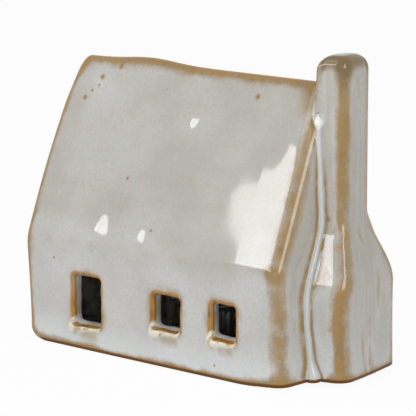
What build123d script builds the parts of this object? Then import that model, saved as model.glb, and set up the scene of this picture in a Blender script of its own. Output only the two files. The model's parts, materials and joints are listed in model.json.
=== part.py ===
from build123d import *
import math
import os

# A slab-built stoneware cottage with a candle inside, modelled slab by slab, in millimetres.
# X runs along the ridge with the chimney at the +X end, the windows face -Y and Z is up.

# House: outer sizes
foot_length = 120.6
house_depth = 60.4
eave_height = 38.6
apex_height = 104.8
ridge_radius = 3.0
eave_radius = 12.0
gable_edge_radius = 2.5

# Both gables lean: the left one outwards, the right one inwards, most of it below the eave
left_top_lean = 2.5
right_eave_lean = 5.0
right_top_lean = 6.0

# Slab thicknesses
wall_thickness = 5.0
roof_thickness = 5.0
gable_thickness = 5.0
floor_thickness = 5.0

# Windows, each placed by its middle from the left foot corner and by its sill height
window_corner_radius = 1.8
window_rim_radius = 1.2
left_window_place = 29.5
left_window_width = 12.8
left_window_sill = 10.0
left_window_height = 16.6
middle_window_place = 68.0
middle_window_width = 12.1
middle_window_sill = 14.3
middle_window_height = 11.0
right_window_place = 94.3
right_window_width = 10.5
right_window_sill = 15.0
right_window_height = 11.0

# Chimney: a wide breast, sloped shoulders and a narrow stack, its outer face skewed to the gable
chimney_height = 110.7
chimney_skew = 7.5
breast_reach = 10.3
breast_front = -12.6
breast_rear = 22.0
breast_front_radius = 5.0
breast_rear_radius = 2.5
shoulder_bottom = 31.5
shoulder_top = 53.2
stack_reach = 1.8
stack_front = -3.6
stack_rear = 15.8
stack_front_radius = 3.4
stack_rear_radius = 2.4
stack_top_radius = 2.3

# Tealight: a standard 38 mm candle in its foil cup
cup_rim_diameter = 38.5
cup_base_diameter = 37.0
cup_height = 16.0
cup_wall = 0.4
wax_height = 12.6
wax_clearance = 0.05
wick_diameter = 1.8
wick_above_wax = 6.0
sustainer_diameter = 14.0
sustainer_thickness = 0.4
collar_diameter = 3.6
collar_height = 4.0

# Doorway in the back wall, wide enough to pass the tealight and two fingertips
tealight_place = 66.0
doorway_side_room = 3.75
doorway_head_room = 6.0
doorway_corner_radius = 8.0
doorway_rim_radius = 1.2

# Places worked out from the sizes above
half_depth = house_depth / 2
room_half_depth = half_depth - wall_thickness
roof_pitch = math.atan2(apex_height - eave_height, half_depth)
roof_drop = roof_thickness / math.cos(roof_pitch)
room_apex = apex_height - roof_drop
room_eave = eave_height + wall_thickness * math.tan(roof_pitch) - roof_drop
ridge_top = apex_height - ridge_radius * (1 / math.cos(roof_pitch) - 1)
left_overhang = left_top_lean * (ridge_top - gable_edge_radius) / chimney_height
overall_length = left_overhang + foot_length + breast_reach
left_foot_x = left_overhang - overall_length / 2
right_foot_x = left_foot_x + foot_length
chimney_root_x = right_foot_x - right_top_lean - 2 * gable_thickness
tealight_x = left_foot_x + tealight_place
tealight_height = cup_wall + wax_height + wick_above_wax
doorway_width = cup_rim_diameter + 2 * doorway_side_room
doorway_height = tealight_height + doorway_head_room


def left_edge(inset):
    """Line of the left gable's outer face, moved towards the room by inset."""
    foot = (left_foot_x + inset, 0)
    top = (left_foot_x - left_top_lean + inset, chimney_height)
    return Line(foot, top)


def right_edge(inset):
    """Arc of the right gable's outer face, moved towards the room by inset."""
    foot = (right_foot_x - inset, 0)
    eave = (right_foot_x - right_eave_lean - inset, eave_height)
    top = (right_foot_x - right_top_lean - inset, chimney_height)
    return ThreePointArc(foot, eave, top)


def outline_between(first, second):
    """Straight bottom and top that close the outline between two upright edges."""
    Line(first @ 0, second @ 0)
    Line(first @ 1, second @ 1)


# Cross-section of the whole house, square to the ridge
with BuildSketch(Plane.YZ) as house_section:
    with BuildLine():
        Polyline(
            (-half_depth, 0),
            (half_depth, 0),
            (half_depth, eave_height),
            (0, apex_height),
            (-half_depth, eave_height),
            close=True,
        )
    make_face()
    upper_corners = house_section.vertices().sort_by(Axis.Y)[2:]
    fillet(upper_corners[2], radius=ridge_radius)
    fillet(upper_corners[:2], radius=eave_radius)

# The same section with the room cut out, which leaves the walls and the roof
with BuildSketch(Plane.YZ) as shell_section:
    add(house_section.sketch_local)
    with BuildLine():
        Polyline(
            (-room_half_depth, 0),
            (room_half_depth, 0),
            (room_half_depth, room_eave),
            (0, room_apex),
            (-room_half_depth, room_eave),
            close=True,
        )
    make_face(mode=Mode.SUBTRACT)

# Side outlines, seen square to the front wall
with BuildSketch(Plane.XZ) as left_gable_side:
    with BuildLine():
        outline_between(left_edge(0), left_edge(gable_thickness))
    make_face()

with BuildSketch(Plane.XZ) as room_side:
    with BuildLine():
        outline_between(left_edge(gable_thickness), right_edge(gable_thickness))
    make_face()

with BuildSketch(Plane.XZ) as right_gable_side:
    with BuildLine():
        outline_between(right_edge(gable_thickness), right_edge(0))
    make_face()

with BuildSketch(Plane.XZ) as chimney_side:
    with BuildLine():
        far_foot = (right_foot_x + breast_reach, 0)
        far_top = (right_foot_x + breast_reach, chimney_height)
        outline_between(right_edge(0), Line(far_foot, far_top))
    make_face()

# Mitre planes where each wall meets its roof slab
mitre_in = room_half_depth - half_depth
mitre_up = room_eave - eave_height
front_mitre = Plane(
    origin=(0, -half_depth, eave_height), x_dir=(1, 0, 0), z_dir=(0, -mitre_up, -mitre_in)
)
back_mitre = Plane(
    origin=(0, half_depth, eave_height), x_dir=(1, 0, 0), z_dir=(0, mitre_up, -mitre_in)
)


def half_shell(half):
    """Wall and roof of one half of the house, between the two gables."""
    extrude(shell_section.sketch, amount=overall_length, both=True)
    extrude(room_side.sketch, amount=house_depth, both=True, mode=Mode.INTERSECT)
    split(bisect_by=Plane.XZ, keep=half)


def gable(side):
    """One end slab, as tall and deep as the whole house."""
    extrude(house_section.sketch, amount=overall_length, both=True)
    extrude(side.sketch, amount=house_depth, both=True, mode=Mode.INTERSECT)


def round_gable_edge(outer_face):
    """Soft outer edge of an end slab, all round but along its foot."""
    fillet(outer_face.edges().sort_by(Axis.Z)[1:], radius=gable_edge_radius)


def broad_faces(slab):
    """Inner and outer face of a slab, the two largest, in order along X."""
    return slab.faces().sort_by(SortBy.AREA)[-2:].sort_by(Axis.X)


# Floor slab, set between the four walls
with BuildPart() as floor_slab:
    extrude(room_side.sketch, amount=room_half_depth, both=True)
    split(bisect_by=Plane.XY.offset(floor_thickness), keep=Keep.BOTTOM)
floor_slab.part.label = "floor_slab"

# Front wall with its three windows
with BuildPart() as front_wall:
    half_shell(Keep.TOP)
    split(bisect_by=front_mitre, keep=Keep.BOTTOM)
    with BuildSketch(Plane.XZ.offset(half_depth)):
        with Locations((left_foot_x + left_window_place, left_window_sill + left_window_height / 2)):
            RectangleRounded(left_window_width, left_window_height, window_corner_radius)
        with Locations((left_foot_x + middle_window_place, middle_window_sill + middle_window_height / 2)):
            RectangleRounded(middle_window_width, middle_window_height, window_corner_radius)
        with Locations((left_foot_x + right_window_place, right_window_sill + right_window_height / 2)):
            RectangleRounded(right_window_width, right_window_height, window_corner_radius)
    extrude(amount=-2 * wall_thickness, mode=Mode.SUBTRACT)
    front_face = front_wall.faces().filter_by(Axis.Y).sort_by(Axis.Y)[0]
    fillet(front_face.inner_wires().edges(), radius=window_rim_radius)
front_wall.part.label = "front_wall"

# Back wall with the doorway, whose threshold is level with the floor
with BuildPart() as back_wall:
    half_shell(Keep.BOTTOM)
    split(bisect_by=back_mitre, keep=Keep.BOTTOM)
    with BuildSketch(Plane.XZ.offset(-half_depth)) as doorway:
        with Locations((tealight_x, floor_thickness)):
            Rectangle(doorway_width, doorway_height, align=(Align.CENTER, Align.MIN))
        fillet(doorway.vertices().sort_by(Axis.Y)[2:], radius=doorway_corner_radius)
    extrude(amount=2 * wall_thickness, mode=Mode.SUBTRACT)
    back_face = back_wall.faces().filter_by(Axis.Y).sort_by(Axis.Y)[-1]
    fillet(back_face.inner_wires().edges(), radius=doorway_rim_radius)
back_wall.part.label = "back_wall"

# Roof slabs, mitred along the ridge and along the eaves
with BuildPart() as front_roof:
    half_shell(Keep.TOP)
    split(bisect_by=front_mitre, keep=Keep.TOP)
front_roof.part.label = "front_roof"

with BuildPart() as back_roof:
    half_shell(Keep.BOTTOM)
    split(bisect_by=back_mitre, keep=Keep.TOP)
back_roof.part.label = "back_roof"

# Gables, which cap the ends of the walls, roof and floor
with BuildPart() as left_gable:
    gable(left_gable_side)
    round_gable_edge(broad_faces(left_gable)[0])
left_gable.part.label = "left_gable"

with BuildPart() as right_gable:
    gable(right_gable_side)
    round_gable_edge(broad_faces(right_gable)[1])
right_gable.part.label = "right_gable"


def chimney_plan(reach, front, rear, front_radius, rear_radius):
    """Rounded plan of the chimney, from inside the gable out to its reach past the foot."""
    front_x = right_foot_x + reach
    rear_x = front_x - (rear - front) * math.tan(math.radians(chimney_skew))
    root_x = chimney_root_x + rear_radius
    with Locations((front_x - front_radius, front + front_radius)):
        Circle(front_radius)
    with Locations((rear_x - rear_radius, rear - rear_radius)):
        Circle(rear_radius)
    with Locations((root_x, front + rear_radius), (root_x, rear - rear_radius)):
        Circle(rear_radius)
    make_hull()


# Chimney breast with its shoulders, fitted to the gable's outer face
with BuildPart() as chimney_breast:
    with BuildSketch(Plane.XY):
        chimney_plan(breast_reach, breast_front, breast_rear, breast_front_radius, breast_rear_radius)
    extrude(amount=shoulder_bottom)
    with BuildSketch(Plane.XY.offset(shoulder_bottom)):
        chimney_plan(breast_reach, breast_front, breast_rear, breast_front_radius, breast_rear_radius)
    with BuildSketch(Plane.XY.offset(shoulder_top)):
        chimney_plan(stack_reach, stack_front, stack_rear, stack_front_radius, stack_rear_radius)
    loft()
    extrude(chimney_side.sketch, amount=house_depth, both=True, mode=Mode.INTERSECT)
chimney_breast.part.label = "chimney_breast"

# Chimney stack, standing on the shoulders and closed at the top
with BuildPart() as chimney_stack:
    with BuildSketch(Plane.XY.offset(shoulder_top)):
        chimney_plan(stack_reach, stack_front, stack_rear, stack_front_radius, stack_rear_radius)
    extrude(amount=chimney_height - shoulder_top)
    fillet(chimney_stack.faces().sort_by(Axis.Z)[-1].edges(), radius=stack_top_radius)
    extrude(chimney_side.sketch, amount=house_depth, both=True, mode=Mode.INTERSECT)
chimney_stack.part.label = "chimney_stack"

# Tealight, turned about its own upright axis on the floor slab
candle_plane = Plane(origin=(tealight_x, 0, floor_thickness), x_dir=(1, 0, 0), z_dir=(0, -1, 0))
candle_axis = Axis((tealight_x, 0, floor_thickness), (0, 0, 1))
cup_base_radius = cup_base_diameter / 2
cup_rim_radius = cup_rim_diameter / 2
cup_flare = (cup_rim_radius - cup_base_radius) / cup_height
wax_top = cup_wall + wax_height
wick_radius = wick_diameter / 2
wick_hole = wick_radius + wax_clearance
disc_top = cup_wall + sustainer_thickness
collar_top = disc_top + collar_height


def wax_radius(height):
    """Radius of the wax at a height above the cup's underside."""
    return cup_base_radius + cup_flare * height - cup_wall - wax_clearance


with BuildPart() as tealight_cup:
    with BuildSketch(candle_plane):
        with BuildLine():
            Polyline(
                (0, 0),
                (cup_base_radius, 0),
                (cup_rim_radius, cup_height),
                (cup_rim_radius - cup_wall, cup_height),
                (cup_base_radius + cup_flare * cup_wall - cup_wall, cup_wall),
                (0, cup_wall),
                close=True,
            )
        make_face()
    revolve(axis=candle_axis)
tealight_cup.part.label = "tealight_cup"

# Wax, cast round the wick and its foot
with BuildPart() as tealight_wax:
    with BuildSketch(candle_plane):
        with BuildLine():
            Polyline(
                (sustainer_diameter / 2 + wax_clearance, cup_wall),
                (wax_radius(cup_wall), cup_wall),
                (wax_radius(wax_top), wax_top),
                (wick_hole, wax_top),
                (wick_hole, collar_top + wax_clearance),
                (collar_diameter / 2 + wax_clearance, collar_top + wax_clearance),
                (collar_diameter / 2 + wax_clearance, disc_top + wax_clearance),
                (sustainer_diameter / 2 + wax_clearance, disc_top + wax_clearance),
                close=True,
            )
        make_face()
    revolve(axis=candle_axis)
tealight_wax.part.label = "tealight_wax"

# Wick sustainer: a thin disc with a collar that grips the wick
with BuildPart() as wick_sustainer:
    with BuildSketch(candle_plane):
        with BuildLine():
            Polyline(
                (0, cup_wall),
                (sustainer_diameter / 2, cup_wall),
                (sustainer_diameter / 2, disc_top),
                (collar_diameter / 2, disc_top),
                (collar_diameter / 2, collar_top),
                (wick_hole, collar_top),
                (wick_hole, disc_top),
                (0, disc_top),
                close=True,
            )
        make_face()
    revolve(axis=candle_axis)
wick_sustainer.part.label = "wick_sustainer"

with BuildPart() as tealight_wick:
    with BuildSketch(Plane.XY.offset(floor_thickness + disc_top)):
        with Locations((tealight_x, 0)):
            Circle(wick_radius)
    extrude(amount=wax_top + wick_above_wax - disc_top)
tealight_wick.part.label = "tealight_wick"

pieces = [
    floor_slab,
    front_wall,
    back_wall,
    left_gable,
    right_gable,
    front_roof,
    back_roof,
    chimney_breast,
    chimney_stack,
    tealight_cup,
    tealight_wax,
    wick_sustainer,
    tealight_wick,
]
os.makedirs("parts", exist_ok=True)
for piece in pieces:
    export_step(piece.part, f"parts/{piece.part.label}.step")
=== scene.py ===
import json
import math

import bpy
import numpy as np
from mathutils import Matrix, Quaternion, Vector


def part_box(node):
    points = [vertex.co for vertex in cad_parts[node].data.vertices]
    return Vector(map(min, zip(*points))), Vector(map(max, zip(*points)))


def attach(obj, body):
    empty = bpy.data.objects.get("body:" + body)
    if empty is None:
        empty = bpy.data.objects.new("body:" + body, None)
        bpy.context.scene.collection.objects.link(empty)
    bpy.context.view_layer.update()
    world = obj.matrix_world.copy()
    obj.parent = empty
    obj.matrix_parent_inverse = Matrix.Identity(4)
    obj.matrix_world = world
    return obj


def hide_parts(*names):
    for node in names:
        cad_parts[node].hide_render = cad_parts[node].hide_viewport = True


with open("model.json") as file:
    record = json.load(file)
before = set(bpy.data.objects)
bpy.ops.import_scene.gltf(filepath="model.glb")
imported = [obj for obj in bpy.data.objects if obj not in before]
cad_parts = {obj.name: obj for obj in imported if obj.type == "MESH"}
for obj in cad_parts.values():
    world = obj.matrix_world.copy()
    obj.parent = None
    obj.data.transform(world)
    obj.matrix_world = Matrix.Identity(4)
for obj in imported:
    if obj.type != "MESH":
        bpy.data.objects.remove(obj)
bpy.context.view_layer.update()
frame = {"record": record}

# A glazed stoneware cottage that holds a tealight. The slabs of the frame are dressed with one
# continuous glazed skin, worked out as a distance field in millimetres. X runs along the ridge
# towards the chimney, the windows face -Y and Z is up.

MM = 0.001


def node_box(node):
    """Lowest and highest corner of a frame node, in millimetres."""
    low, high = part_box(node)
    return np.array(low) / MM, np.array(high) / MM


def opening_box(name):
    """Lowest and highest corner of an opening that the record names, in millimetres."""
    for opening in frame["record"]["physics"]["openings"]:
        if opening["name"] == name:
            return np.array(opening["box_m"]) / MM
    raise KeyError(name)


house_nodes = ["floor_slab", "front_wall", "back_wall", "left_gable", "right_gable",
               "front_roof", "back_roof", "chimney_breast", "chimney_stack"]

# House sizes, from the frame
half_depth = -node_box("front_wall")[0][1]
eave_height = node_box("front_wall")[1][2]
ridge_top = node_box("front_roof")[1][2]
floor_top = node_box("floor_slab")[1][2]
wall_thickness = half_depth - node_box("floor_slab")[1][1]
left_foot = node_box("left_gable")[1][0] - wall_thickness
right_foot = node_box("right_gable")[1][0]
chimney_top = node_box("chimney_stack")[1][2]

# How the hand-built slabs depart from straight: bulges, leans and soft edges
left_bulge = 3.1
left_bulge_span = 1.2
left_foot_inset = 0.4
right_eave_lean = 2.2
right_top_lean = 6.0
rear_eave_lean = 4.3
rear_top_lean = 5.9
eave_slope = 0.027
eave_level_x = -19.0
eave_slope_end = 35.0
eave_blend_left = 1.3
eave_blend_right = 0.5
ridge_inset = 4.23
ridge_blend = 7.1
left_edge_blend = 2.2
left_top_blend = 4.8
left_top_start = 82.0
right_edge_blend = 5.5
foot_blend = 0.7
left_corner_blend = 5.0
left_corner_reach = 9.0
wander = 0.08
wander_lengths = (42.0, 38.0, 46.0)
wander_start = (2.0, 20.0)
flutter = 0.01
flutter_length = 15.0
wobble = 0.32
wobble_length = 8.0
gable_turn = (-6.0, 8.0)
foot_lift = 1.3
foot_lift_start = 36.0
rear_lift = 0.9

# Chimney: boxes from the frame, and how the hand-built form departs from them, breast then stack
breast_low, breast_high = node_box("chimney_breast")
stack_low, stack_high = node_box("chimney_stack")
shoulder_bottom = 31.5
shoulder_top = 53.2
shoulder_soft = 0.2
rear_shoulder_top = 58.0
front_turn = 0.25
chimney_skew = math.tan(math.radians(7.5))
skew_pivot = 5.0
inner_sink = 0.8
front_corner_blend = (5.6, 4.0)
rear_corner_blend = (3.0, 2.8)
foot_tuck = 2.0
foot_tuck_height = 20.0
front_forward = (3.3, 2.9)
front_hollow = 0.3
front_hollow_reach = 0.6
rear_forward = (0.5, 3.4)
outer_out = (0.8, 2.4)
crown_blend = 5.0
crown_fall = 0.01
crown_inset = 1.6
crown_y = 1.4

# Beads, run and drop of glaze between gable and chimney, and the joint line on its outer face
valley_blend = 0.8
bead_radius = 0.7
bead_ripple = 0.3
bead_ripple_length = 12.0
bead_offset = 0.3
bead_blend = 0.4
bead_pool = 2.0
bead_pool_range = (10.0, 1.0)
bead_top = (88.0, 97.0)
bead_top_fade = 2.0
bead_softness = 0.9
run_radius = 0.42
run_offset = 1.6
run_fade = 1.5
run_rise = (30.0, 37.0)
run_fall = (53.0, 40.0)
drop_height = 88.0
drop_radius = 1.15
drop_out = 0.6
drop_squash = 0.7
seam_foot = 4.7
seam_top = 8.5
seam_depth = 0.12
seam_width = 0.7

# Surface: spacing and margin of the sampling grid, and how many layers are worked out at a time
grid_step = 0.5
grid_margin = 2.5
grid_layers = 20


def smooth_max(a, b, k):
    """The larger of two distances, blended where they differ by less than k."""
    mix = np.maximum(k - np.abs(a - b), 0.0) / k
    return np.maximum(a, b) + 0.25 * k * mix * mix


def smooth_min(a, b, k):
    """The smaller of two distances, blended where they differ by less than k."""
    return -smooth_max(-a, -b, k)


def smooth_step(low, high, value):
    """0 below low and 1 above high, with a soft rise between."""
    t = np.clip((value - low) / (high - low), 0.0, 1.0)
    return t * t * (3 - 2 * t)


def between(pair, share):
    """A value between two, by share."""
    return pair[0] + (pair[1] - pair[0]) * share


def ripple(x, y, z, length, seed):
    """Smooth waves of about this length, from -1 to 1, the same on every run."""
    rng = np.random.default_rng(seed)
    total = 0.0
    for _ in range(5):
        turn = rng.normal(size=3)
        turn *= 2 * math.pi / (length * rng.uniform(0.7, 1.5) * np.linalg.norm(turn))
        total = total + np.sin(turn[0] * x + turn[1] * y + turn[2] * z + rng.uniform(0, 2 * math.pi))
    return total / 5


def circle_through(a, b, c):
    """Centre and radius of the circle through three points."""
    (ax, ay), (bx, by), (cx, cy) = a, b, c
    d = 2 * (ax * (by - cy) + bx * (cy - ay) + cx * (ay - by))
    a2, b2, c2 = ax * ax + ay * ay, bx * bx + by * by, cx * cx + cy * cy
    ux = (a2 * (by - cy) + b2 * (cy - ay) + c2 * (ay - by)) / d
    uy = (a2 * (cx - bx) + b2 * (ax - cx) + c2 * (bx - ax)) / d
    return ux, uy, math.hypot(ax - ux, ay - uy)


def gable_arc(eave_lean, top_lean):
    """Circle that the right gable follows from the foot to the chimney's top."""
    foot, eave = (right_foot, 0.0), (right_foot - eave_lean, eave_height)
    return circle_through(foot, eave, (right_foot - top_lean, chimney_top))


front_arc = gable_arc(right_eave_lean, right_top_lean)
rear_arc = gable_arc(rear_eave_lean, rear_top_lean)
apex = ridge_top + ridge_inset
roof_pitch = math.atan2(apex - eave_height, half_depth)


def left_face(z):
    """X of the left gable's outer face at a height."""
    bulge = np.sin(math.pi * z / (left_bulge_span * chimney_top)) ** 2
    return left_foot + left_foot_inset - left_bulge * bulge


def arc_x(arc, z):
    """X of an arc at a height."""
    cx, cz, radius = arc
    return cx - np.sqrt(np.maximum(radius * radius - (z - cz) ** 2, 0.0))


def right_face(z):
    """X of the right gable's outer face at a height, ahead of the chimney."""
    return arc_x(front_arc, z)


def gable_face(y, z):
    """X of the right gable's outer face, which leans more behind the chimney."""
    return between((right_face(z), arc_x(rear_arc, z)), smooth_step(*gable_turn, y))


def rounded_box(u, v, half_u, half_v, corner):
    """Distance to a rounded rectangle about the origin."""
    du = np.abs(u) - half_u + corner
    dv = np.abs(v) - half_v + corner
    return np.hypot(np.maximum(du, 0), np.maximum(dv, 0)) + np.minimum(np.maximum(du, dv), 0) - corner


def prism(x, y, z, inset):
    """Distance to the house's outer form, or with an inset to the room inside it."""
    sin, cos = math.sin(roof_pitch), math.cos(roof_pitch)
    drop = eave_slope * (np.minimum(x, eave_slope_end) - eave_level_x) * np.abs(y) / half_depth
    front = (z - drop - apex) * cos - y * sin
    back = (z - drop - apex) * cos + y * sin
    roof = smooth_max(front, back, ridge_blend)
    wall = np.abs(y) - half_depth
    right_share = smooth_step(left_foot, right_foot, x)
    section = smooth_max(wall, roof, between((eave_blend_left, eave_blend_right), right_share)) + inset
    left_blend = between((left_edge_blend, left_top_blend), smooth_step(left_top_start, ridge_top, z))
    closed = smooth_max(section, left_face(z) - x + inset, left_blend)
    return smooth_max(closed, x - gable_face(y, z) + inset, right_edge_blend)


def rear_share(z):
    """0 at the breast and 1 at the stack, with a soft slope, for the rear and the outer face."""
    return smooth_step(shoulder_bottom, rear_shoulder_top, z)


def shoulder_share(z):
    """0 at the breast and 1 at the stack, with a straight slope along the front shoulder."""
    rise = (z - shoulder_bottom) / (shoulder_top - shoulder_bottom)
    capped = smooth_min(rise, np.ones_like(rise), shoulder_soft)
    return smooth_max(capped, np.zeros_like(rise), shoulder_soft)


def chimney_front(z):
    """Y of the chimney's front face at a height."""
    tuck = foot_tuck * np.clip(1 - z / foot_tuck_height, 0, 1)
    share = shoulder_share(z)
    return between((breast_low[1] + tuck, stack_low[1]), share) - between(front_forward, share)


def front_setback(along):
    """How far the chimney's front face turns back at a distance from the gable."""
    hollow = front_hollow * (1 - np.exp(-np.maximum(along, 0.0) / front_hollow_reach))
    return hollow + front_turn * along


def chimney_rear(z):
    """Y of the chimney's rear face at a height."""
    share = rear_share(z)
    return between((breast_high[1], stack_high[1]), share) - between(rear_forward, share)


def seam_gap(y, z):
    """Distance along Y from the joint line down the chimney's outer face."""
    return np.abs(y - between((seam_foot, seam_top), shoulder_share(z)))


def chimney(x, y, z):
    """Distance to the chimney: a wide breast, sloped shoulders and a narrow stack."""
    rise = rear_share(z)
    reach = between((breast_high[0], stack_high[0]), rise) + between(outer_out, rise)
    front, rear = chimney_front(z), chimney_rear(z)
    outer = x - reach + chimney_skew * (y - front - skew_pivot)
    outer = outer + seam_depth * np.exp(-(seam_gap(y, z) / seam_width) ** 2)
    turned_front = front + front_setback(x - right_face(z))
    side = smooth_max(outer, turned_front - y, between(front_corner_blend, rise))
    side = smooth_max(side, y - rear, between(rear_corner_blend, rise))
    side = smooth_max(side, arc_x(rear_arc, z) - inner_sink - x, between(rear_corner_blend, rise))
    crown = chimney_top - crown_fall * ((x - stack_high[0] + crown_inset) ** 2 + (y - crown_y) ** 2)
    return smooth_max(side, z - crown, crown_blend)


def glaze_drop(x, y, z):
    """Distance to the drop of glaze where the front bead starts, below the ridge."""
    across, out = x - right_face(z) - bead_offset, y - chimney_front(z) + drop_out
    return np.sqrt(across ** 2 + out ** 2 + (drop_squash * (z - drop_height)) ** 2) - drop_radius


def valley_beads(x, y, z):
    """Distance to the glaze that has run down between gable and chimney: two beads, a run, a drop."""
    swell = bead_radius * (1 + bead_ripple * ripple(0 * x, 0 * y, z, bead_ripple_length, 11))
    swell = swell + bead_pool * smooth_step(*bead_pool_range, z)
    top_fade = bead_top_fade * smooth_step(*bead_top, z)
    across = x - gable_face(y, z) - bead_offset
    front = np.hypot(across, y - chimney_front(z) + bead_offset)
    rear = np.hypot(across, y - chimney_rear(z) - bead_offset)
    run_share = smooth_step(*run_rise, z) * smooth_step(*run_fall, z)
    run = np.hypot(across - run_offset, y - chimney_front(z) - front_setback(run_offset))
    run = run - run_radius * run_share + run_fade * (1 - run_share)
    beads = np.minimum(np.minimum(front, rear) - swell + top_fade, run)
    return np.minimum(beads, glaze_drop(x, y, z)) * bead_softness


# Windows, doorway, rims and sills
window_names = ["left_window", "middle_window", "right_window"]
window_margin = 0.5
window_corner = 1.3
doorway_margin = 0.5
doorway_corner = 8.0
rim_blend = 2.0
sill_fall = 1.1
sill_radius = 0.7
sill_drop = 1.9
sill_lump = 1.45
sill_lump_reach = 0.7
sill_overhang = 0.4
sill_depth = 0.3
sill_squash = 0.8
sill_ripple = 0.5
sill_ripple_length = 5.0
sill_blend = 1.3
room_floor_blend = 1.5
room_blend = 0.8
far_away = 1e3


def windows(x, y, z):
    """Distance to the nearest window's outline; the sills fall away outwards."""
    nearest = np.full_like(x, far_away)
    fall = sill_fall * smooth_step(wall_thickness - half_depth, -half_depth, y)
    for name in window_names:
        low, high = opening_box(name)
        middle, half = (low + high) / 2, (high - low) / 2 + window_margin
        across, up = x - middle[0], z - middle[2] + fall / 2
        cut = rounded_box(across, up, half[0], half[2] + fall / 2, window_corner)
        nearest = np.minimum(nearest, cut)
    return nearest


def sills(x, y, z):
    """Distance to the rolls of clay and glaze under the windows."""
    nearest = np.full_like(x, far_away)
    for name in window_names:
        low, high = opening_box(name)
        along = x - np.clip(x, low[0] - sill_overhang, high[0])
        out = y + half_depth - sill_depth
        down = z - low[2] + window_margin + sill_drop
        lump = sill_lump * smooth_step(between((low[0], high[0]), sill_lump_reach), low[0], x)
        lump = lump + sill_ripple * ripple(x, y, z, sill_ripple_length, 21)
        roll = np.sqrt(along ** 2 + out ** 2 + (down * sill_squash) ** 2) - sill_radius - lump
        nearest = np.minimum(nearest, roll)
    return nearest


# Lumps on the front roof and the ridge: place, height, width and how much taller than wide each is
roof_lumps = [
    ((-4.0, -9.6, 83.8), 0.2, 2.4, 1.1),
    ((-34.0, -27.9, 43.6), 0.6, 4.0, 1.6),
    ((-31.0, 0.0, 104.0), 0.65, 11.0, 1.0),
    ((-13.0, -27.9, 43.7), 0.2, 2.6, 1.5),
    ((16.6, -19.3, 62.6), 0.09, 10.0, 0.8),
    ((46.5, -11.5, 79.7), 0.3, 9.0, 1.0),
]


def lumps(x, y, z):
    """How far the lumps raise the roof."""
    rise = 0.0
    for (px, py, pz), height, spread, tall in roof_lumps:
        gap = (x - px) ** 2 + ((y - py) ** 2 + (z - pz) ** 2) / tall ** 2
        rise = rise + height * np.exp(-gap / (2 * spread * spread))
    return rise


def doorway(x, z):
    """Distance to the doorway's outline."""
    low, high = opening_box("doorway")
    head = opening_box("doorway_head")[1][2] + doorway_margin
    middle, half = (low[0] + high[0]) / 2, (high[0] - low[0]) / 2 + doorway_margin
    tall = (head - floor_top) / 2 + doorway_corner
    arch = rounded_box(x - middle, z - head + tall, half, tall, doorway_corner)
    return np.maximum(arch, floor_top - z)


def foot_height(x, y):
    """Height of the uneven foot, which lifts a little under the chimney."""
    end_share = smooth_step(foot_lift_start, right_foot, x)
    return end_share * (foot_lift + rear_lift * smooth_step(0.0, half_depth, y))


def field(x, y, z):
    """Distance to the glazed skin: negative in the clay, positive in the air."""
    wx = x + wander * ripple(x, y, z, wander_lengths[0], 1)
    wy = y + wander * ripple(x, y, z, wander_lengths[1], 2)
    wy = wy + flutter * ripple(x, y, z, flutter_length, 4)
    wz = z + wander * ripple(x, y, z, wander_lengths[2], 3) * smooth_step(*wander_start, z)
    house_form = prism(wx, wy, wz, 0.0) - lumps(x, y, z)
    outer = smooth_min(house_form, chimney(wx, wy, wz), valley_blend)
    outer = smooth_min(outer, valley_beads(wx, wy, wz), bead_blend)
    outer = smooth_min(outer, sills(wx, wy, wz), sill_blend)
    corner_share = smooth_step(left_foot + left_corner_reach, left_foot, x)
    corner_blend = between((foot_blend, left_corner_blend), corner_share)
    outer = smooth_max(outer, foot_height(x, y) - z, corner_blend)
    room = smooth_max(prism(x, y, z, wall_thickness), floor_top - z, room_floor_blend)
    skin = smooth_max(outer, -room, room_blend)
    unsteady = wobble * ripple(x, y, z, wobble_length, 5)
    front = np.maximum(windows(wx, wy, wz) + unsteady, y)
    back = np.maximum(doorway(wx, wz) + unsteady, -y)
    return smooth_max(skin, -np.minimum(front, back), rim_blend)


def surface_net(values, origin, step):
    """Vertices and quads of the surface where a grid of distances changes sign."""
    inside = values < 0
    counts = np.zeros(np.array(values.shape) - 1, np.int8)
    corners = [(i, j, k) for i in (0, 1) for j in (0, 1) for k in (0, 1)]
    nx, ny, nz = counts.shape
    for i, j, k in corners:
        counts += inside[i:i + nx, j:j + ny, k:k + nz]
    cells = np.argwhere((counts > 0) & (counts < 8))
    index = np.full(counts.shape, -1, np.int64)
    index[tuple(cells.T)] = np.arange(len(cells))
    total = np.zeros((len(cells), 3))
    crossings = np.zeros(len(cells))
    for axis in range(3):
        for start in corners:
            if start[axis]:
                continue
            a_at = cells + start
            b_at = a_at.copy()
            b_at[:, axis] += 1
            a, b = values[tuple(a_at.T)], values[tuple(b_at.T)]
            crossed = (a < 0) != (b < 0)
            share = np.where(crossed, a / np.where(crossed, a - b, 1), 0)
            point = a_at.astype(float)
            point[:, axis] += share
            total[crossed] += point[crossed]
            crossings += crossed
    vertices = origin + step * total / crossings[:, None]
    quads = []
    for axis in range(3):
        u, v = (axis + 1) % 3, (axis + 2) % 3
        a = np.take(inside, range(values.shape[axis] - 1), axis)
        b = np.take(inside, range(1, values.shape[axis]), axis)
        edges = np.argwhere(a != b)
        edges = edges[(edges[:, u] > 0) & (edges[:, v] > 0)]
        edges = edges[(edges[:, u] < counts.shape[u]) & (edges[:, v] < counts.shape[v])]
        ring = []
        for du, dv in ((-1, -1), (0, -1), (0, 0), (-1, 0)):
            cell = edges.copy()
            cell[:, u] += du
            cell[:, v] += dv
            ring.append(index[tuple(cell.T)])
        ring = np.stack(ring, 1)
        leaving = a[tuple(edges.T)]
        quads.append(np.where(leaving[:, None], ring, ring[:, ::-1]))
    return vertices, np.concatenate(quads)


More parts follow.
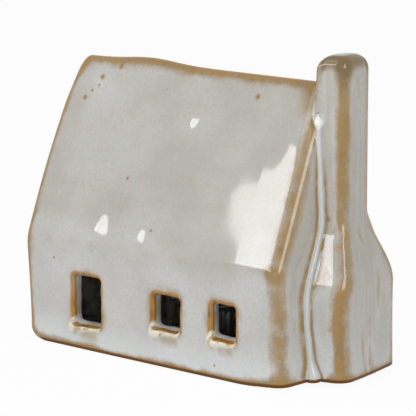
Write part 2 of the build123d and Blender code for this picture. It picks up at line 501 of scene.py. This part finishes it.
def gradient(points, reach=0.05):
    """Direction in which the field grows at some points."""
    steps = np.eye(3) * reach
    return np.stack(
        [field(*(points + s).T) - field(*(points - s).T) for s in steps], 1
    ) / (2 * reach)


def settle(points, rounds=3):
    """Moves points onto the exact surface."""
    for _ in range(rounds):
        slope = gradient(points)
        points = points - slope * (field(*points.T) / np.maximum((slope ** 2).sum(1), 0.2))[:, None]
    return points


def skin_mesh():
    """Vertices and quads of the glazed skin, in millimetres."""
    corners = [node_box(node) for node in house_nodes]
    low = np.min([c[0] for c in corners], 0) - grid_margin
    high = np.max([c[1] for c in corners], 0) + grid_margin
    axes = [np.arange(a, b, grid_step, dtype=np.float32) for a, b in zip(low, high)]
    values = np.concatenate(
        [field(*np.meshgrid(axes[0][i:i + grid_layers], axes[1], axes[2], indexing="ij"))
         for i in range(0, len(axes[0]), grid_layers)]
    )
    vertices, quads = surface_net(values, low, grid_step)
    return settle(vertices), quads


def smoothed(points, quads, rounds):
    """Points averaged with their neighbours, again and again."""
    ends = np.concatenate([quads[:, [i, (i + 1) % 4]] for i in range(4)])
    ends = np.concatenate([ends, ends[:, ::-1]])
    share = np.bincount(ends[:, 0], minlength=len(points))
    for _ in range(rounds):
        points = np.stack(
            [np.bincount(ends[:, 0], points[ends[:, 1], i], len(points)) / share for i in range(3)], 1
        )
    return points


def new_mesh(name, vertices, faces):
    """A smooth-shaded mesh object from millimetre vertices."""
    mesh = bpy.data.meshes.new(name)
    mesh.from_pydata((np.asarray(vertices) * MM).tolist(), [], [list(map(int, f)) for f in faces])
    mesh.update()
    mesh.shade_smooth()
    piece = bpy.data.objects.new(name, mesh)
    bpy.context.scene.collection.objects.link(piece)
    return piece


def store(piece, name, values):
    """Keeps one number for each vertex, for the material to read."""
    piece.data.attributes.new(name, "FLOAT", "POINT").data.foreach_set("value", values.astype(np.float32))


def srgb(red, green, blue):
    """A colour as seen on screen, 0 to 255, as linear RGBA."""
    levels = np.array([red, green, blue]) / 255
    linear = np.where(levels > 0.04045, ((levels + 0.055) / 1.055) ** 2.4, levels / 12.92)
    return (*linear.tolist(), 1.0)


class Material:
    """A material being built: its Principled shader and the nodes that feed it."""

    def __init__(self, name):
        self.data = bpy.data.materials.new(name)
        self.data.use_nodes = True
        self.tree = self.data.node_tree
        self.surface = self.tree.nodes["Principled BSDF"]
        self.place = self.tree.nodes.new("ShaderNodeTexCoord").outputs["Object"]

    def node(self, kind, inputs, output=0, **settings):
        """Adds a node, sets or joins its inputs and gives one of its outputs."""
        node = self.tree.nodes.new(kind)
        for key, value in settings.items():
            setattr(node, key, value)
        for key, value in inputs.items():
            self.feed(node.inputs[key], value)
        return node.outputs[output]

    def feed(self, socket, value):
        """Joins a node's output to an input, or sets the input to a plain value."""
        if isinstance(value, bpy.types.NodeSocket):
            self.tree.links.new(value, socket)
        else:
            socket.default_value = value

    def set(self, **inputs):
        """Feeds the Principled shader; underscores in names stand for spaces."""
        for key, value in inputs.items():
            self.feed(self.surface.inputs[key.replace("_", " ")], value)

    def math(self, operation, first, second):
        """One arithmetic step."""
        return self.node("ShaderNodeMath", {0: first, 1: second}, operation=operation)

    def plus(self, first, second):
        """The sum of two values."""
        return self.math("ADD", first, second)

    def times(self, first, second):
        """The product of two values."""
        return self.math("MULTIPLY", first, second)

    def most(self, first, second):
        """The larger of two values."""
        return self.math("MAXIMUM", first, second)

    def ramp(self, value, low, high, start=0.0, end=1.0):
        """A soft rise from start to end while the value goes from low to high."""
        inputs = {"Value": value, "From Min": low, "From Max": high, "To Min": start, "To Max": end}
        return self.node("ShaderNodeMapRange", inputs, interpolation_type="SMOOTHSTEP")

    def mix(self, share, first, second):
        """A colour between two."""
        inputs = {0: share, 6: first, 7: second}
        return self.node("ShaderNodeMix", inputs, output=2, data_type="RGBA")

    def noise(self, size, detail=2.0, stretch=(1, 1, 1), seed=0.0):
        """Cloudy noise with patches of about this size in millimetres."""
        shift = {"Vector": self.place, "Scale": stretch, "Location": (seed, seed, seed)}
        vector = self.node("ShaderNodeMapping", shift)
        inputs = {"Vector": vector, "Scale": 1000.0 / size, "Detail": detail}
        return self.node("ShaderNodeTexNoise", inputs)

    def specks(self, spacing, radius, amount):
        """Small round marks: spacing and radius in millimetres, amount the share that shows."""
        cell = self.tree.nodes.new("ShaderNodeTexVoronoi")
        self.feed(cell.inputs["Vector"], self.place)
        self.feed(cell.inputs["Scale"], 1000.0 / spacing)
        shown = self.node("ShaderNodeSeparateColor", {0: cell.outputs["Color"]})
        dot = self.ramp(cell.outputs["Distance"], radius / spacing, 0.4 * radius / spacing)
        return self.times(dot, self.math("LESS_THAN", shown, amount))

    def spot(self, place, radius):
        """One round mark at a place; both in millimetres."""
        inputs = {0: self.place, 1: [c * MM for c in place]}
        gap = self.node("ShaderNodeVectorMath", inputs, output=1, operation="DISTANCE")
        return self.ramp(gap, radius * MM, 0.1 * radius * MM)

    def stored(self, name):
        """A number kept on the mesh's vertices."""
        return self.node("ShaderNodeAttribute", {}, output=2, attribute_name=name)

    def broken(self, name, *limits):
        """A number kept on the vertices, broken up by a ramp with these limits."""
        return self.times(self.stored(name), self.ramp(*limits))

    def bump(self, height, strength, distance):
        """A surface normal from a height; distance in millimetres."""
        inputs = {"Height": height, "Strength": strength, "Distance": distance * MM}
        return self.node("ShaderNodeBump", inputs)


skin_points, skin_quads = skin_mesh()
house = new_mesh("glazed_house", skin_points, skin_quads)
skin_x, skin_y, skin_z = skin_points.T
normals = gradient(skin_points)
normals /= np.linalg.norm(normals, axis=1)[:, None]
house.data.normals_split_custom_set_from_vertices(normals.tolist())


def standing_out(rounds):
    """How far the skin stands out from a smoothed copy of itself: high on edges, low in hollows."""
    return ((skin_points - smoothed(skin_points, skin_quads, rounds)) * normals).sum(1)


# Distances in millimetres: past the right gable, from the left end, the front, openings and beads
from_end = skin_x - right_face(skin_z)
from_left = skin_x - left_face(skin_z)
from_front = skin_y + half_depth
window_gap = windows(skin_x, skin_y, skin_z)
bead_gap = valley_beads(skin_x, skin_y, skin_z)
faces_front = skin_y < 0

# Edges, where the glaze is thin, and hollows, where it pools; the weights follow the photograph
crest_spread = 10.8
crest_rounds = round(crest_spread / grid_step ** 2)
crest = standing_out(crest_rounds)
above_drop = smooth_step(drop_height - 4.0, drop_height + 2.0, skin_z)
hollow = np.maximum(-crest, 0.0) * between((0.5, 1.4), above_drop)
on_ridge = smooth_step(ridge_top - 12.0, ridge_top - 4.0, skin_z) * smooth_step(-3.0, -5.0, from_end)
inner_stack = smooth_step(drop_height - 1.0, drop_height + 3.0, skin_z) * smooth_step(2.5, 0.5, from_end)
inner_stack = inner_stack * smooth_step(-3.0, -1.0, from_end)
near_window = smooth_step(3.5, 2.0, window_gap) * smooth_step(6.0, 5.0, from_front)
on_eave = np.exp(-((skin_z - eave_height) / 3.5) ** 2) * smooth_step(-4.0, -9.0, from_end)
on_eave = on_eave * smooth_step(6.0, 10.0, from_left) * smooth_step(4.0, 8.0, window_gap)
crest = crest * (1 - 0.7 * on_eave) * (1 + 1.1 * on_ridge)
crest = crest * (1 - 0.7 * inner_stack) * (1 - 0.65 * near_window)
store(house, "crest", crest)
store(house, "hollow", hollow)
store(house, "swell", standing_out(3 * crest_rounds))

# Pale glaze above the eave and in the upper left corner of the roof
eave_pale = np.exp(-((skin_z - eave_height - 5.0) / 4.0) ** 2) * smooth_step(5.0, -50.0, skin_x)
corner_pale = np.exp(-((skin_x + 50.0) ** 2 + (skin_z - 91.0) ** 2) / 60.0) * faces_front
store(house, "pale", eave_pale + corner_pale)

# Glaze that ran: the beads, the drop, the brown beside them and the brown cloud at the stack
on_gable = smooth_step(1.0, -0.5, from_end)
beside_width = between((1.9, 2.6), on_gable) + 1.6 * smooth_step(52.0, 30.0, skin_z) * on_gable
beside = smooth_step(0.2, 0.5, bead_gap) * smooth_step(beside_width, 0.4 * beside_width, bead_gap)
stack_end, gable_end = smooth_step(78.0, 68.0, skin_z), smooth_step(drop_height + 6.0, drop_height, skin_z)
cloud = smooth_step(-14.0, -4.0, from_end) * smooth_step(-0.5, -2.5, from_end)
cloud = cloud * smooth_step(drop_height - 1.0, drop_height + 4.0, skin_z)
store(house, "bead", smooth_step(0.3, 0.0, bead_gap))
# The drop's mask also carries the painted highlight put on the drop
store(house, "drop", smooth_step(0.6, 0.1, glaze_drop(skin_x, skin_y, skin_z)))
store(house, "beside", beside * between((stack_end, gable_end), on_gable))
store(house, "cloud", cloud * smooth_step(-2.0, -4.0, skin_y))

# Windows and doorway: golden rims, stains around and below, pale sills
inner_lip = smooth_step(1.1, 0.4, np.abs(from_front - wall_thickness)) * smooth_step(1.2, 0.6, window_gap)
front_rim = smooth_step(2.1, 1.3, window_gap) * smooth_step(1.8, 1.1, from_front)
door_rim = smooth_step(1.75, 1.1, doorway(skin_x, skin_z)) * smooth_step(-1.7, -0.9, skin_y - half_depth)
door_rim = door_rim * smooth_step(0.0, 1.0, skin_z - floor_top)
below = np.zeros_like(skin_x)
for name in window_names:
    low, high = opening_box(name)
    across = smooth_step(low[0] + 1.0, low[0] + 4.0, skin_x)
    across = across * smooth_step(high[0] + 1.5, high[0] - 1.5, skin_x)
    down = smooth_step(low[2] - 2.5, low[2] - 4.0, skin_z) * smooth_step(low[2] - 8.0, low[2] - 5.0, skin_z)
    below = np.maximum(below, across * down * faces_front)
sill_roll = smooth_step(0.8, 0.0, sills(skin_x, skin_y, skin_z))
store(house, "rim", np.maximum(np.maximum(front_rim, 0.9 * inner_lip), door_rim))
store(house, "rim_inside", smooth_step(0.6, 1.3, from_front))
store(house, "halo", smooth_step(4.5, 0.3, window_gap) * smooth_step(1.7, 0.9, from_front))
store(house, "below", below)
store(house, "sill", sill_roll * smooth_step(0.9, 0.65, normals[:, 2]))

# Chimney end: the banded front corner, the joint line, the crown and painted shade on the faces that turn to
# +X
corner_way = np.array([0.72, -0.69, 0.0])
outer_face = smooth_step(0.75, 0.95, normals[:, 0]) * smooth_step(-1.0, 1.0, from_end)
seam_line = smooth_step(0.5, 0.2, seam_gap(skin_y, skin_z)) * smooth_step(34.0, 26.0, skin_z)
crown_top = smooth_step(chimney_top - 4.0, chimney_top - 1.0, skin_z)
end_share = smooth_step(-3.0, 2.0, from_end)
store(house, "corner", smooth_step(0.87, 0.98, normals @ corner_way) * smooth_step(2.5, 4.5, from_end))
store(house, "seam", outer_face * seam_line)
store(house, "cap", smooth_step(chimney_top - 12.0, chimney_top - 4.0, skin_z))
store(house, "crown", smooth_step(0.9, 0.99, normals[:, 2]) * crown_top)
store(house, "end", end_share)
# Painted shade on the faces at the right end that turn to +X
store(house, "shaded_side", end_share * smooth_step(0.4, 0.8, normals[:, 0]))

# Height above the foot, and the room: painted shade inside it and painted light on its left end
store(house, "foot", skin_z - foot_height(skin_x, skin_y))
store(house, "room", smooth_step(0.5, -0.5, prism(skin_x, skin_y, skin_z, 0.9 * wall_thickness)))
store(house, "lit_inner_end", smooth_step(-22.0, -42.0, skin_x))
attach(house, "house")
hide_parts(*house_nodes)

# Glaze: warm grey, bluish where it is thick, breaking to brown where it is thin on the edges
warm_grey = srgb(184, 181, 174)
cool_grey = srgb(213, 215, 216)
pool_white = srgb(215, 220, 219)
# Near pure white for the drop: a painted highlight on its pooled glaze
drop_highlight_white = srgb(248, 249, 248)
edge_halo = srgb(170, 158, 138)
painted_shade_grey = srgb(152, 147, 137)
edge_brown = srgb(154, 119, 50)
edge_dark = srgb(98, 74, 26)
edge_ochre = srgb(164, 116, 22)
rim_ochre = srgb(176, 124, 34)
rim_dark = srgb(104, 66, 14)
cap_olive = srgb(102, 88, 58)
foot_brown = srgb(108, 66, 6)
bare_clay = srgb(158, 124, 90)
sill_cream = srgb(226, 221, 206)
iron_brown = srgb(150, 110, 36)
# Painted shade for the room inside, and painted light for its left end
painted_room_shade = srgb(58, 52, 44)
painted_room_light = srgb(176, 170, 158)

# Iron spots that show in the photograph, each a place and a radius, and how far their soft edge reaches
iron_spots = [
    ((23.5, -5.1, 93.7), 1.2),
    ((-24.6, -19.6, 61.9), 0.7),
    ((-6.5, -26.6, 46.4), 0.7),
    ((-50.8, -5.0, 93.9), 1.2),
    ((-56.5, -8.4, 86.4), 1.1),
    ((-54.0, -7.2, 89.0), 0.7),
    ((-51.4, -6.3, 91.0), 0.6),
    ((-43.1, -3.1, 98.0), 1.2),
    ((-50.9, -30.2, 31.6), 0.5),
    ((26.3, -30.2, 4.8), 0.5),
    ((55.5, -6.1, 55.5), 1.1),
    ((64.6, 4.8, 18.5), 0.7),
    ((64.6, 4.7, 15.6), 0.8),
]

spot_spread = 1.45

glaze = Material("glaze")
broad = glaze.noise(24.0, 3.0)
middle = glaze.noise(7.0, 3.0, seed=2.0)
brushed = glaze.noise(5.0, 3.0, stretch=(0.3, 1, 1), seed=4.0)
fine = glaze.noise(1.0, 4.0, seed=5.0)
streak = glaze.noise(4.5, 2.0, stretch=(1, 1, 0.12), seed=7.0)
dashes = glaze.noise(3.2, 4.0, stretch=(1, 1, 0.5), seed=8.0)
flecks = glaze.noise(2.0, 3.0, stretch=(1, 1, 0.4), seed=6.0)
crumbs = glaze.noise(2.6, 3.0, seed=3.0)
swells = glaze.noise(9.0, 1.0, seed=9.0)
foot_in = glaze.stored("foot")

# Body of the glaze: cooler below the eave and at the foot, clouded and brushed with brown
cool = glaze.plus(glaze.ramp(foot_in, 46.0, 30.0, 0.1, 0.5), glaze.ramp(foot_in, 16.0, 2.0, 0.0, 0.5))
cool = glaze.plus(cool, glaze.ramp(broad, 0.3, 0.7, -0.2, 0.22))
cool = glaze.plus(cool, glaze.times(glaze.stored("pale"), 0.45))
cool = glaze.plus(cool, glaze.broken("end", streak, 0.4, 0.65, -0.15, 0.4))
cool = glaze.most(glaze.math("MINIMUM", cool, 1.0), 0.0)
colour = glaze.mix(cool, warm_grey, cool_grey)
colour = glaze.mix(glaze.ramp(fine, 0.3, 0.7, 0.0, 0.2), colour, edge_halo)
mottle = glaze.times(glaze.ramp(brushed, 0.42, 0.75, 0.0, 0.4), glaze.ramp(fine, 0.3, 0.7, 0.1, 0.6))
mottle = glaze.times(mottle, glaze.ramp(foot_in, 34.0, 52.0, 0.25, 1.0))
colour = glaze.mix(mottle, colour, edge_halo)
colour = glaze.mix(glaze.ramp(foot_in, 12.0, 2.0, 0.0, 0.7), colour, pool_white)

# Edges: a pale brown halo, then brown and ochre where the glaze is thin, olive on the chimney's cap
worn = glaze.plus(glaze.stored("crest"), glaze.ramp(middle, 0.3, 0.7, -0.06, 0.06))
worn = glaze.plus(worn, glaze.ramp(fine, 0.3, 0.7, -0.015, 0.015))
halo = glaze.plus(glaze.stored("swell"), glaze.ramp(middle, 0.3, 0.7, -0.25, 0.25))
colour = glaze.mix(glaze.ramp(halo, 0.35, 1.4, 0.0, 0.7), colour, edge_halo)
banded = glaze.ramp(glaze.broken("corner", middle, 0.3, 0.7, 0.78, 1.1), 0.05, 1.0)
thin = glaze.most(glaze.ramp(worn, 0.08, 0.46), banded)
thin = glaze.times(thin, glaze.ramp(fine, 0.3, 0.6, 0.9, 1.0))
iron = glaze.mix(glaze.ramp(dashes, 0.45, 0.75, 0.0, 0.5), edge_brown, edge_dark)
# Painted shade: faces at the right end that turn to +X are painted darker
colour = glaze.mix(glaze.times(glaze.stored("shaded_side"), 0.5), colour, painted_shade_grey)
colour = glaze.mix(glaze.times(thin, 0.85), colour, iron)
golden = glaze.times(banded, glaze.ramp(foot_in, 60.0, 40.0, 0.1, 0.3))
golden = glaze.most(golden, glaze.ramp(worn, 0.42, 0.78, 0.0, 0.55))
colour = glaze.mix(golden, colour, edge_ochre)
colour = glaze.mix(glaze.times(glaze.stored("cap"), glaze.times(thin, 0.75)), colour, cap_olive)

# Brown lines, the white glaze of hollows, beads, drop and crown, and a painted highlight on the drop
lines = glaze.broken("end", streak, 0.58, 0.72, 0.0, 0.5)
lines = glaze.most(lines, glaze.broken("beside", middle, 0.32, 0.52, 0.4, 0.95))
lines = glaze.most(lines, glaze.broken("cloud", middle, 0.35, 0.6, 0.2, 0.65))
colour = glaze.mix(lines, colour, edge_brown)
pooled = glaze.most(glaze.ramp(glaze.stored("hollow"), 0.15, 0.5, 0.0, 0.75), glaze.stored("bead"))
pooled = glaze.most(pooled, glaze.times(glaze.stored("crown"), 0.7))
colour = glaze.mix(glaze.times(pooled, 0.85), colour, pool_white)
# Painted highlight: the drop of pooled glaze is painted near pure white
colour = glaze.mix(glaze.stored("drop"), colour, drop_highlight_white)

# Windows: stains, golden rims and cream sills
stain = glaze.broken("halo", middle, 0.35, 0.65, 0.1, 0.5)
stain = glaze.most(stain, glaze.broken("below", middle, 0.3, 0.6, 0.1, 0.5))
colour = glaze.mix(stain, colour, edge_brown)
# The golden rims turn darker in flecks and further into the openings
darker_rim = glaze.ramp(flecks, 0.45, 0.7, 0.0, 0.7)
darker_rim = glaze.most(darker_rim, glaze.times(glaze.stored("rim_inside"), 0.7))
gold = glaze.mix(darker_rim, rim_ochre, rim_dark)
colour = glaze.mix(glaze.broken("rim", middle, 0.25, 0.5, 0.75, 1.0), colour, gold)
colour = glaze.mix(glaze.broken("sill", crumbs, 0.38, 0.52, 0.35, 1.0), colour, sill_cream)

# Iron spots, the joint line, the brown and then bare foot, and the room's painted shade and painted light
marks = glaze.most(glaze.specks(11.0, 0.3, 0.3), glaze.specks(19.0, 0.5, 0.1))
for place, radius in iron_spots:
    marks = glaze.most(marks, glaze.spot(place, spot_spread * radius))
marks = glaze.most(marks, glaze.broken("seam", middle, 0.45, 0.6, 0.0, 0.9))
colour = glaze.mix(glaze.times(marks, 0.92), colour, iron_brown)
footing = glaze.ramp(foot_in, 1.6, 1.0)
colour = glaze.mix(footing, colour, foot_brown)
bare = glaze.ramp(foot_in, 0.25, 0.05)
colour = glaze.mix(bare, colour, bare_clay)
# Painted shade: the room is painted dark. Painted light: its left end, where window light falls, is painted
# paler
room = glaze.stored("room")
painted_left_light = glaze.broken("lit_inner_end", middle, 0.35, 0.6, 0.3, 1.0)
colour = glaze.mix(room, colour, glaze.mix(painted_left_light, painted_room_shade, painted_room_light))

gloss = glaze.plus(glaze.ramp(fine, 0.3, 0.7, 0.03, 0.06), glaze.times(thin, 0.08))
gloss = glaze.plus(gloss, glaze.most(glaze.times(bare, 0.5), glaze.times(room, 0.03)))
relief = glaze.plus(swells, glaze.times(fine, 0.02))
glaze.set(
    Base_Color=colour,
    Roughness=gloss,
    IOR=1.52,
    Specular_IOR_Level=glaze.most(glaze.ramp(footing, 0.0, 1.0, 0.5, 0.15), room),
    Normal=glaze.bump(relief, 0.05, 0.15),
)
house.data.materials.append(glaze.data)

# Tealight: pleated foil cup, wax, wick and the small foot that holds the wick
cup_low, cup_high = node_box("tealight_cup")
wax_low, wax_high = node_box("tealight_wax")
foot_low, foot_high = node_box("wick_sustainer")
wick_low, wick_high = node_box("tealight_wick")
candle_x = (cup_low[0] + cup_high[0]) / 2
cup_radius = (cup_high[0] - cup_low[0]) / 2
wax_radius = (wax_high[0] - wax_low[0]) / 2
wick_radius = (wick_high[0] - wick_low[0]) / 2
sustainer_radius = (foot_high[0] - foot_low[0]) / 2
foil = wax_low[2] - cup_low[2]
cup_taper = 0.75
cup_base_edge = 1.2
cup_levels = 9
cup_collar = 0.8
roll_radius = 0.35
lining = 0.3
pleats = 48
pleat_depth = 0.14


def turned(name, profile, turns=192):
    """A turned piece. Each row is radius, height and pleat depth; rows at no radius close it."""
    angles = np.arange(turns) * 2 * math.pi / turns
    points, rings = [], []
    for radius, height, pleat in profile:
        if radius == 0:
            rings.append([len(points)])
            points.append((candle_x, 0.0, height))
            continue
        rings.append(list(range(len(points), len(points) + turns)))
        r = radius + pleat * np.cos(pleats * angles)
        points.extend(zip(candle_x + r * np.cos(angles), r * np.sin(angles), np.full(turns, height)))
    closed = len(rings[0]) > 1
    faces = []
    for i in range(len(rings) if closed else len(rings) - 1):
        a, b = rings[i], rings[(i + 1) % len(rings)]
        for j in range(turns):
            k = (j + 1) % turns
            corners = [a[j % len(a)], a[k % len(a)], b[k % len(b)], b[j % len(b)]]
            faces.append(list(dict.fromkeys(corners)))
    piece = new_mesh(name, points, faces)
    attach(piece, "tealight")
    return piece


def cup_side(level, inset):
    """One row of the cup's pleated side, by its level from the base up."""
    share = level / cup_levels
    height = cup_low[2] + share * (cup_high[2] - cup_low[2] - cup_collar)
    return cup_radius - cup_taper * (1 - share) - inset, height, pleat_depth


base_radius = cup_radius - cup_taper - cup_base_edge
cup_rows = [(0, cup_low[2], 0), (base_radius, cup_low[2], 0)]
cup_rows.append((cup_radius - cup_taper - 0.3, cup_low[2] + 0.3, 0.02))
cup_rows += [cup_side(level, roll_radius) for level in range(1, cup_levels)]
cup_rows.append((cup_radius - 0.25, cup_high[2] - 0.75, 0.04))
cup_rows += [(cup_radius + roll_radius * (math.sin(t) - 1), cup_high[2] + roll_radius * (math.cos(t) - 1), 0)
             for t in np.linspace(1.9, -1.3, 7)]
cup_rows += [cup_side(level, roll_radius + lining) for level in range(cup_levels - 1, 0, -1)]
cup_rows += [(base_radius, cup_low[2] + foil, 0), (0, cup_low[2] + foil, 0)]
cup = turned("foil_cup", cup_rows)
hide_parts("tealight_cup")

wax_top = wax_high[2]
wax_rows = [(sustainer_radius + 0.05, wax_low[2], 0), (wax_radius - 0.9, wax_low[2], 0)]
wax_rows += [(wax_radius - 0.4, wax_top - 0.1, 0), (wax_radius - 0.75, wax_top - 0.02, 0)]
wax_rows += [(wax_radius - 0.8 - 1.6 * s, wax_top - 0.05 - 0.35 * s * (2 - s), 0) for s in (0.3, 0.6, 1.0)]
wax_rows += [(r, wax_top - 0.4 - 0.25 * math.cos(math.pi * r / wax_radius), 0) for r in (14, 11, 8, 6, 4.5)]
wax_rows += [(3.2, wax_top - 0.55, 0), (2.2, wax_top - 0.35, 0), (1.5, wax_top - 0.02, 0)]
wax_rows += [(wick_radius + 0.08, wax_top, 0), (wick_radius + 0.08, foot_high[2] + 0.05, 0)]
wax_rows += [(1.9, foot_high[2] + 0.05, 0), (1.9, foot_low[2] + 0.5, 0)]
wax_rows.append((sustainer_radius, foot_low[2] + 0.5, 0))
wax = turned("wax", wax_rows)
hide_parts("tealight_wax")

hold_rows = [(0, foot_low[2], 0), (sustainer_radius, foot_low[2], 0)]
hold_rows += [(sustainer_radius, foot_low[2] + 0.3, 0), (sustainer_radius - 0.4, foot_low[2] + 0.4, 0)]
hold_rows += [(2.4, foot_low[2] + 0.4, 0), (1.9, foot_low[2] + 0.7, 0), (1.75, foot_high[2] - 0.6, 0)]
hold_rows += [(1.55, foot_high[2], 0), (wick_radius + 0.05, foot_high[2], 0)]
hold_rows += [(wick_radius + 0.05, foot_low[2] + 0.4, 0), (0, foot_low[2] + 0.4, 0)]
sustainer = turned("sustainer", hold_rows, 96)
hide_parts("wick_sustainer")

wick_turns = 36
wick_steps = 90
wick_lay = 2.6
angles = np.arange(wick_turns) * 2 * math.pi / wick_turns
wick_points = [(candle_x, 0.0, wick_low[2])]
for step in range(wick_steps + 1):
    height = wick_low[2] + (wick_high[2] - wick_low[2]) * step / wick_steps
    above = max(height - wax_top, 0.0)
    strand = 1 - 0.16 * np.abs(np.sin(1.5 * (angles - 2 * math.pi * height / wick_lay)))
    frayed = 1 - 0.25 * smooth_step(wick_high[2] - 0.8, wick_high[2], height)
    r = (wick_radius - 0.02) * strand * frayed
    wick_points += list(zip(candle_x + 0.012 * above ** 2 + r * np.cos(angles), r * np.sin(angles),
                            np.full(wick_turns, height)))
wick_points.append((candle_x + 0.012 * (wick_high[2] - wax_top) ** 2, 0.0, wick_high[2] + 0.1))
wick_faces = []
for j in range(wick_turns):
    k = (j + 1) % wick_turns
    wick_faces.append([0, 1 + k, 1 + j])
    for step in range(wick_steps):
        base = 1 + step * wick_turns
        wick_faces.append([base + j, base + k, base + wick_turns + k, base + wick_turns + j])
    top = 1 + wick_steps * wick_turns
    wick_faces.append([top + j, top + k, len(wick_points) - 1])
wick = new_mesh("wick", wick_points, wick_faces)
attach(wick, "tealight")
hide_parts("tealight_wick")

foil_look = Material("foil")
crinkle = foil_look.noise(1.6, 4.0)
foil_look.set(
    Base_Color=foil_look.mix(crinkle, srgb(206, 207, 210), srgb(188, 189, 192)),
    Metallic=1.0,
    Roughness=foil_look.ramp(crinkle, 0.3, 0.7, 0.26, 0.4),
    Normal=foil_look.bump(crinkle, 0.1, 0.1),
)
cup.data.materials.append(foil_look.data)

wax_look = Material("wax")
cloud = wax_look.noise(4.0, 3.0)
wax_look.set(
    Base_Color=wax_look.mix(cloud, srgb(240, 236, 224), srgb(232, 227, 212)),
    Roughness=wax_look.ramp(cloud, 0.3, 0.7, 0.32, 0.46),
    Subsurface_Weight=0.3,
    Subsurface_Radius=(0.004, 0.003, 0.002),
    Normal=wax_look.bump(cloud, 0.2, 0.1),
)
wax.data.materials.append(wax_look.data)

tin_look = Material("tin")
rubbed = tin_look.noise(0.8, 3.0)
tin_look.set(
    Base_Color=tin_look.mix(rubbed, srgb(176, 176, 174), srgb(150, 150, 150)),
    Metallic=1.0,
    Roughness=tin_look.ramp(rubbed, 0.3, 0.7, 0.28, 0.44),
    Normal=tin_look.bump(rubbed, 0.15, 0.05),
)
sustainer.data.materials.append(tin_look.data)

cotton_look = Material("cotton")
fibre = cotton_look.noise(0.35, 4.0)
cotton_look.set(
    Base_Color=cotton_look.mix(fibre, srgb(236, 230, 214), srgb(208, 198, 176)),
    Roughness=cotton_look.ramp(fibre, 0.3, 0.7, 0.6, 0.85),
    Normal=cotton_look.bump(fibre, 0.5, 0.06),
)
wick.data.materials.append(cotton_look.data)

# Stage: white floor and surroundings, which keep a trace of the shadow
floor_mesh = bpy.data.meshes.new("floor")
floor_mesh.from_pydata([(-4, -4, 0), (4, -4, 0), (4, 4, 0), (-4, 4, 0)], [], [(0, 1, 2, 3)])
floor = bpy.data.objects.new("floor", floor_mesh)
bpy.context.scene.collection.objects.link(floor)


def background_rays(tree):
    """A node output that is 1 for rays that see the background and 0 for rays that light."""
    ray = tree.nodes.new("ShaderNodeLightPath")
    last = ray.outputs["Is Camera Ray"]
    for kind in ("Is Glossy Ray", "Is Transmission Ray"):
        either = tree.nodes.new("ShaderNodeMath")
        either.operation = "MAXIMUM"
        tree.links.new(last, either.inputs[0])
        tree.links.new(ray.outputs[kind], either.inputs[1])
        last = either.outputs[0]
    return last


paper = bpy.data.materials.new("white_paper")
paper.use_nodes = True
nodes, links = paper.node_tree.nodes, paper.node_tree.links
nodes.clear()
output = nodes.new("ShaderNodeOutputMaterial")
blend = nodes.new("ShaderNodeMixShader")
diffuse = nodes.new("ShaderNodeBsdfDiffuse")
diffuse.inputs["Color"].default_value = (0.92, 0.92, 0.92, 1)
glow = nodes.new("ShaderNodeEmission")
glow.inputs["Color"].default_value = (1, 1, 1, 1)
glow.inputs["Strength"].default_value = 1.0
share = nodes.new("ShaderNodeMath")
share.operation = "MULTIPLY"
share.inputs[1].default_value = 0.94
links.new(background_rays(paper.node_tree), share.inputs[0])
links.new(share.outputs[0], blend.inputs[0])
links.new(diffuse.outputs[0], blend.inputs[1])
links.new(glow.outputs[0], blend.inputs[2])
links.new(blend.outputs[0], output.inputs[0])
floor_mesh.materials.append(paper)

world = bpy.data.worlds.new("studio")
bpy.context.scene.world = world
world.use_nodes = True
sky = world.node_tree.nodes["Background"]
sky.inputs["Color"].default_value = (1, 1, 1, 1)
level = world.node_tree.nodes.new("ShaderNodeMapRange")
level.inputs["To Min"].default_value = 0.52
level.inputs["To Max"].default_value = 1.0
world.node_tree.links.new(background_rays(world.node_tree), level.inputs["Value"])
world.node_tree.links.new(level.outputs[0], sky.inputs["Strength"])


def softbox(name, place, target, width, height, power, roll=0.0):
    """A rectangular lamp that faces a point; roll lifts its right end, in degrees."""
    lamp = bpy.data.lights.new(name, "AREA")
    lamp.shape = "RECTANGLE"
    lamp.size, lamp.size_y = width, height
    lamp.energy = power
    piece = bpy.data.objects.new(name, lamp)
    piece.location = place
    turn = (Vector(target) - Vector(place)).to_track_quat("-Z", "Y")
    piece.rotation_euler = (turn @ Quaternion((0, 0, 1), math.radians(roll))).to_euler()
    bpy.context.scene.collection.objects.link(piece)
    return piece


# Key lamp, wide and low, ahead and to the left: the roof mirrors its left end beside the chimney
key_centre = Vector((-0.315, -0.751, 0.494))
key_target = Vector((0.109, -0.005, 0.222))
softbox("key", key_centre, key_target, 0.646, 0.118, 1.7, roll=3.5)

# Fill lamp, large and high, that lifts the roof and the front
softbox("fill", Vector((-0.25, -0.75, 0.95)), Vector((0.0, 0.0, 0.05)), 0.6, 0.6, 1.75)

# Side lamp, for the thin lines of light on the edges that face the chimney end
softbox("side", Vector((0.868, -0.198, 0.387)), Vector((0.055, -0.01, 0.05)), 0.4, 0.24, 1.7)

# Small lamp above it, for the line of light down the chimney's sloped corner and the crown
softbox("high_side", Vector((0.751, -0.17, 0.594)), Vector((0.06, -0.01, 0.04)), 0.14, 0.2, 0.7)

# Camera, at the photograph's viewing angle
camera_azimuth = math.radians(42.37)
camera_elevation = math.radians(10.49)
camera_distance = 0.91504
camera_target = Vector((-0.00418, 0.0, 0.05111))
lens_pixels = 2602.0
frame_pixels = 416.0
camera_data = bpy.data.cameras.new("camera")
camera_data.sensor_width = 36.0
camera_data.lens = 36.0 * lens_pixels / frame_pixels
camera = bpy.data.objects.new("camera", camera_data)
camera.location = camera_target + camera_distance * Vector((
    math.sin(camera_azimuth) * math.cos(camera_elevation),
    -math.cos(camera_azimuth) * math.cos(camera_elevation),
    math.sin(camera_elevation),
))
camera.rotation_euler = (camera_target - camera.location).to_track_quat("-Z", "Y").to_euler()
bpy.context.scene.collection.objects.link(camera)
bpy.context.scene.camera = camera
bpy.context.scene.view_settings.view_transform = "Standard"
